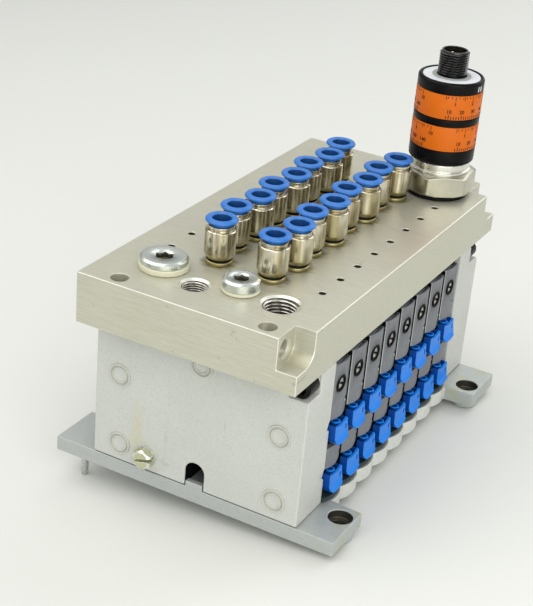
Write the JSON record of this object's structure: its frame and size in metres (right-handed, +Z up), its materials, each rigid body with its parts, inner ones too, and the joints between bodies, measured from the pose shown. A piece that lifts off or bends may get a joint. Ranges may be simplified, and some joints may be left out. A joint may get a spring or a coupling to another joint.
{
  "type": "solenoid valve terminal",
  "caption": "Bank of solenoid directional valve slices between end plates, on an eared base plate, under a connector plate with push-in fittings and a pressure switch.",
  "frame": {"origin": "middle of the underside of the bounding box, below the middle of the connector plate", "axes": "+Z up, out of the connector plate and along the tube sockets; +Y along the bank of slices, from the ports to the pressure switch; +X to the side with the manual overrides"},
  "size_m": [0.1186, 0.1756, 0.1562],
  "materials": {
    "anodised_plate": "satin champagne anodised, faint grain",
    "cast_ends": "matt blasted die casting",
    "base_aluminium": "satin machined",
    "slice_grey": "fine matt moulded grey, on a metal valve body",
    "spool_steel": "ground",
    "override_blue": "semi-gloss moulded blue",
    "collar_blue": "semi-gloss moulded blue",
    "nickel": "bright nickel plate",
    "black_plastic": "satin black",
    "ring_orange": "satin orange with engraved scale",
    "zinc": "bright zinc plate"
  },
  "bodies": {
    "terminal": {"connector_plate": "anodised_plate", "front_end_plate": "cast_ends", "rear_end_plate": "cast_ends", "base_plate": "base_aluminium", "valve_slice_1": "slice_grey", "valve_slice_2": "slice_grey", "valve_slice_3": "slice_grey", "valve_slice_4": "slice_grey", "valve_slice_5": "slice_grey", "valve_slice_6": "slice_grey", "valve_slice_7": "slice_grey", "valve_slice_8": "slice_grey", "sensor_body": "nickel", "sensor_housing": "black_plastic", "plug_large": "zinc", "plug_small": "zinc", "earth_screw": "zinc", "multipin_connector": "black_plastic"},
    "override_upper_1": {"override_clip_upper_1": "override_blue"},
    "override_upper_2": {"override_clip_upper_2": "override_blue"},
    "override_upper_3": {"override_clip_upper_3": "override_blue"},
    "override_upper_4": {"override_clip_upper_4": "override_blue"},
    "override_upper_5": {"override_clip_upper_5": "override_blue"},
    "override_upper_6": {"override_clip_upper_6": "override_blue"},
    "override_upper_7": {"override_clip_upper_7": "override_blue"},
    "override_upper_8": {"override_clip_upper_8": "override_blue"},
    "override_lower_1": {"override_clip_lower_1": "override_blue"},
    "override_lower_2": {"override_clip_lower_2": "override_blue"},
    "override_lower_3": {"override_clip_lower_3": "override_blue"},
    "override_lower_4": {"override_clip_lower_4": "override_blue"},
    "override_lower_5": {"override_clip_lower_5": "override_blue"},
    "override_lower_6": {"override_clip_lower_6": "override_blue"},
    "override_lower_7": {"override_clip_lower_7": "override_blue"},
    "override_lower_8": {"override_clip_lower_8": "override_blue"},
    "collar_left_1": {"release_collar_left_1": "collar_blue"},
    "collar_left_2": {"release_collar_left_2": "collar_blue"},
    "collar_left_3": {"release_collar_left_3": "collar_blue"},
    "collar_left_4": {"release_collar_left_4": "collar_blue"},
    "collar_left_5": {"release_collar_left_5": "collar_blue"},
    "collar_left_6": {"release_collar_left_6": "collar_blue"},
    "collar_left_7": {"release_collar_left_7": "collar_blue"},
    "collar_left_8": {"release_collar_left_8": "collar_blue"},
    "collar_right_1": {"release_collar_right_1": "collar_blue"},
    "collar_right_2": {"release_collar_right_2": "collar_blue"},
    "collar_right_3": {"release_collar_right_3": "collar_blue"},
    "collar_right_4": {"release_collar_right_4": "collar_blue"},
    "collar_right_5": {"release_collar_right_5": "collar_blue"},
    "collar_right_6": {"release_collar_right_6": "collar_blue"},
    "collar_right_7": {"release_collar_right_7": "collar_blue"},
    "collar_right_8": {"release_collar_right_8": "collar_blue"},
    "spool_1": {"valve_spool_1": "spool_steel"},
    "spool_2": {"valve_spool_2": "spool_steel"},
    "spool_3": {"valve_spool_3": "spool_steel"},
    "spool_4": {"valve_spool_4": "spool_steel"},
    "spool_5": {"valve_spool_5": "spool_steel"},
    "spool_6": {"valve_spool_6": "spool_steel"},
    "spool_7": {"valve_spool_7": "spool_steel"},
    "spool_8": {"valve_spool_8": "spool_steel"},
    "set_dial": {"set_ring": "ring_orange"},
    "reset_dial": {"reset_ring": "ring_orange"}
  },
  "joints": [
    {"name": "press_override_upper_1", "type": "slide", "parent": "terminal", "child": "override_upper_1", "axis": [-1, 0, 0], "range_m": [0, 0.0012], "stiffness_N_per_m": 300},
    {"name": "press_override_upper_2", "type": "slide", "parent": "terminal", "child": "override_upper_2", "axis": [-1, 0, 0], "range_m": [0, 0.0012], "stiffness_N_per_m": 300},
    {"name": "press_override_upper_3", "type": "slide", "parent": "terminal", "child": "override_upper_3", "axis": [-1, 0, 0], "range_m": [0, 0.0012], "stiffness_N_per_m": 300},
    {"name": "press_override_upper_4", "type": "slide", "parent": "terminal", "child": "override_upper_4", "axis": [-1, 0, 0], "range_m": [0, 0.0012], "stiffness_N_per_m": 300},
    {"name": "press_override_upper_5", "type": "slide", "parent": "terminal", "child": "override_upper_5", "axis": [-1, 0, 0], "range_m": [0, 0.0012], "stiffness_N_per_m": 300},
    {"name": "press_override_upper_6", "type": "slide", "parent": "terminal", "child": "override_upper_6", "axis": [-1, 0, 0], "range_m": [0, 0.0012], "stiffness_N_per_m": 300},
    {"name": "press_override_upper_7", "type": "slide", "parent": "terminal", "child": "override_upper_7", "axis": [-1, 0, 0], "range_m": [0, 0.0012], "stiffness_N_per_m": 300},
    {"name": "press_override_upper_8", "type": "slide", "parent": "terminal", "child": "override_upper_8", "axis": [-1, 0, 0], "range_m": [0, 0.0012], "stiffness_N_per_m": 300},
    {"name": "press_override_lower_1", "type": "slide", "parent": "terminal", "child": "override_lower_1", "axis": [-1, 0, 0], "range_m": [0, 0.0012], "stiffness_N_per_m": 300},
    {"name": "press_override_lower_2", "type": "slide", "parent": "terminal", "child": "override_lower_2", "axis": [-1, 0, 0], "range_m": [0, 0.0012], "stiffness_N_per_m": 300},
    {"name": "press_override_lower_3", "type": "slide", "parent": "terminal", "child": "override_lower_3", "axis": [-1, 0, 0], "range_m": [0, 0.0012], "stiffness_N_per_m": 300},
    {"name": "press_override_lower_4", "type": "slide", "parent": "terminal", "child": "override_lower_4", "axis": [-1, 0, 0], "range_m": [0, 0.0012], "stiffness_N_per_m": 300},
    {"name": "press_override_lower_5", "type": "slide", "parent": "terminal", "child": "override_lower_5", "axis": [-1, 0, 0], "range_m": [0, 0.0012], "stiffness_N_per_m": 300},
    {"name": "press_override_lower_6", "type": "slide", "parent": "terminal", "child": "override_lower_6", "axis": [-1, 0, 0], "range_m": [0, 0.0012], "stiffness_N_per_m": 300},
    {"name": "press_override_lower_7", "type": "slide", "parent": "terminal", "child": "override_lower_7", "axis": [-1, 0, 0], "range_m": [0, 0.0012], "stiffness_N_per_m": 300},
    {"name": "press_override_lower_8", "type": "slide", "parent": "terminal", "child": "override_lower_8", "axis": [-1, 0, 0], "range_m": [0, 0.0012], "stiffness_N_per_m": 300},
    {"name": "press_collar_left_1", "type": "slide", "parent": "terminal", "child": "collar_left_1", "axis": [0, 0, -1], "range_m": [0, 0.0013], "stiffness_N_per_m": 300},
    {"name": "press_collar_left_2", "type": "slide", "parent": "terminal", "child": "collar_left_2", "axis": [0, 0, -1], "range_m": [0, 0.0013], "stiffness_N_per_m": 300},
    {"name": "press_collar_left_3", "type": "slide", "parent": "terminal", "child": "collar_left_3", "axis": [0, 0, -1], "range_m": [0, 0.0013], "stiffness_N_per_m": 300},
    {"name": "press_collar_left_4", "type": "slide", "parent": "terminal", "child": "collar_left_4", "axis": [0, 0, -1], "range_m": [0, 0.0013], "stiffness_N_per_m": 300},
    {"name": "press_collar_left_5", "type": "slide", "parent": "terminal", "child": "collar_left_5", "axis": [0, 0, -1], "range_m": [0, 0.0013], "stiffness_N_per_m": 300},
    {"name": "press_collar_left_6", "type": "slide", "parent": "terminal", "child": "collar_left_6", "axis": [0, 0, -1], "range_m": [0, 0.0013], "stiffness_N_per_m": 300},
    {"name": "press_collar_left_7", "type": "slide", "parent": "terminal", "child": "collar_left_7", "axis": [0, 0, -1], "range_m": [0, 0.0013], "stiffness_N_per_m": 300},
    {"name": "press_collar_left_8", "type": "slide", "parent": "terminal", "child": "collar_left_8", "axis": [0, 0, -1], "range_m": [0, 0.0013], "stiffness_N_per_m": 300},
    {"name": "press_collar_right_1", "type": "slide", "parent": "terminal", "child": "collar_right_1", "axis": [0, 0, -1], "range_m": [0, 0.0013], "stiffness_N_per_m": 300},
    {"name": "press_collar_right_2", "type": "slide", "parent": "terminal", "child": "collar_right_2", "axis": [0, 0, -1], "range_m": [0, 0.0013], "stiffness_N_per_m": 300},
    {"name": "press_collar_right_3", "type": "slide", "parent": "terminal", "child": "collar_right_3", "axis": [0, 0, -1], "range_m": [0, 0.0013], "stiffness_N_per_m": 300},
    {"name": "press_collar_right_4", "type": "slide", "parent": "terminal", "child": "collar_right_4", "axis": [0, 0, -1], "range_m": [0, 0.0013], "stiffness_N_per_m": 300},
    {"name": "press_collar_right_5", "type": "slide", "parent": "terminal", "child": "collar_right_5", "axis": [0, 0, -1], "range_m": [0, 0.0013], "stiffness_N_per_m": 300},
    {"name": "press_collar_right_6", "type": "slide", "parent": "terminal", "child": "collar_right_6", "axis": [0, 0, -1], "range_m": [0, 0.0013], "stiffness_N_per_m": 300},
    {"name": "press_collar_right_7", "type": "slide", "parent": "terminal", "child": "collar_right_7", "axis": [0, 0, -1], "range_m": [0, 0.0013], "stiffness_N_per_m": 300},
    {"name": "press_collar_right_8", "type": "slide", "parent": "terminal", "child": "collar_right_8", "axis": [0, 0, -1], "range_m": [0, 0.0013], "stiffness_N_per_m": 300},
    {"name": "shift_spool_1", "type": "slide", "parent": "terminal", "child": "spool_1", "axis": [1, 0, 0], "range_m": [-0.0015, 0.0015]},
    {"name": "shift_spool_2", "type": "slide", "parent": "terminal", "child": "spool_2", "axis": [1, 0, 0], "range_m": [-0.0015, 0.0015]},
    {"name": "shift_spool_3", "type": "slide", "parent": "terminal", "child": "spool_3", "axis": [1, 0, 0], "range_m": [-0.0015, 0.0015]},
    {"name": "shift_spool_4", "type": "slide", "parent": "terminal", "child": "spool_4", "axis": [1, 0, 0], "range_m": [-0.0015, 0.0015]},
    {"name": "shift_spool_5", "type": "slide", "parent": "terminal", "child": "spool_5", "axis": [1, 0, 0], "range_m": [-0.0015, 0.0015]},
    {"name": "shift_spool_6", "type": "slide", "parent": "terminal", "child": "spool_6", "axis": [1, 0, 0], "range_m": [-0.0015, 0.0015]},
    {"name": "shift_spool_7", "type": "slide", "parent": "terminal", "child": "spool_7", "axis": [1, 0, 0], "range_m": [-0.0015, 0.0015]},
    {"name": "shift_spool_8", "type": "slide", "parent": "terminal", "child": "spool_8", "axis": [1, 0, 0], "range_m": [-0.0015, 0.0015]},
    {"name": "turn_set_ring", "type": "hinge", "parent": "terminal", "child": "set_dial", "pos_m": [0.0245, 0.06775, 0.13625], "axis": [0, 0, 1], "range_deg": [-90, 180]},
    {"name": "turn_reset_ring", "type": "hinge", "parent": "terminal", "child": "reset_dial", "pos_m": [0.0245, 0.06775, 0.123], "axis": [0, 0, 1], "range_deg": [-90, 180]}
  ]
}
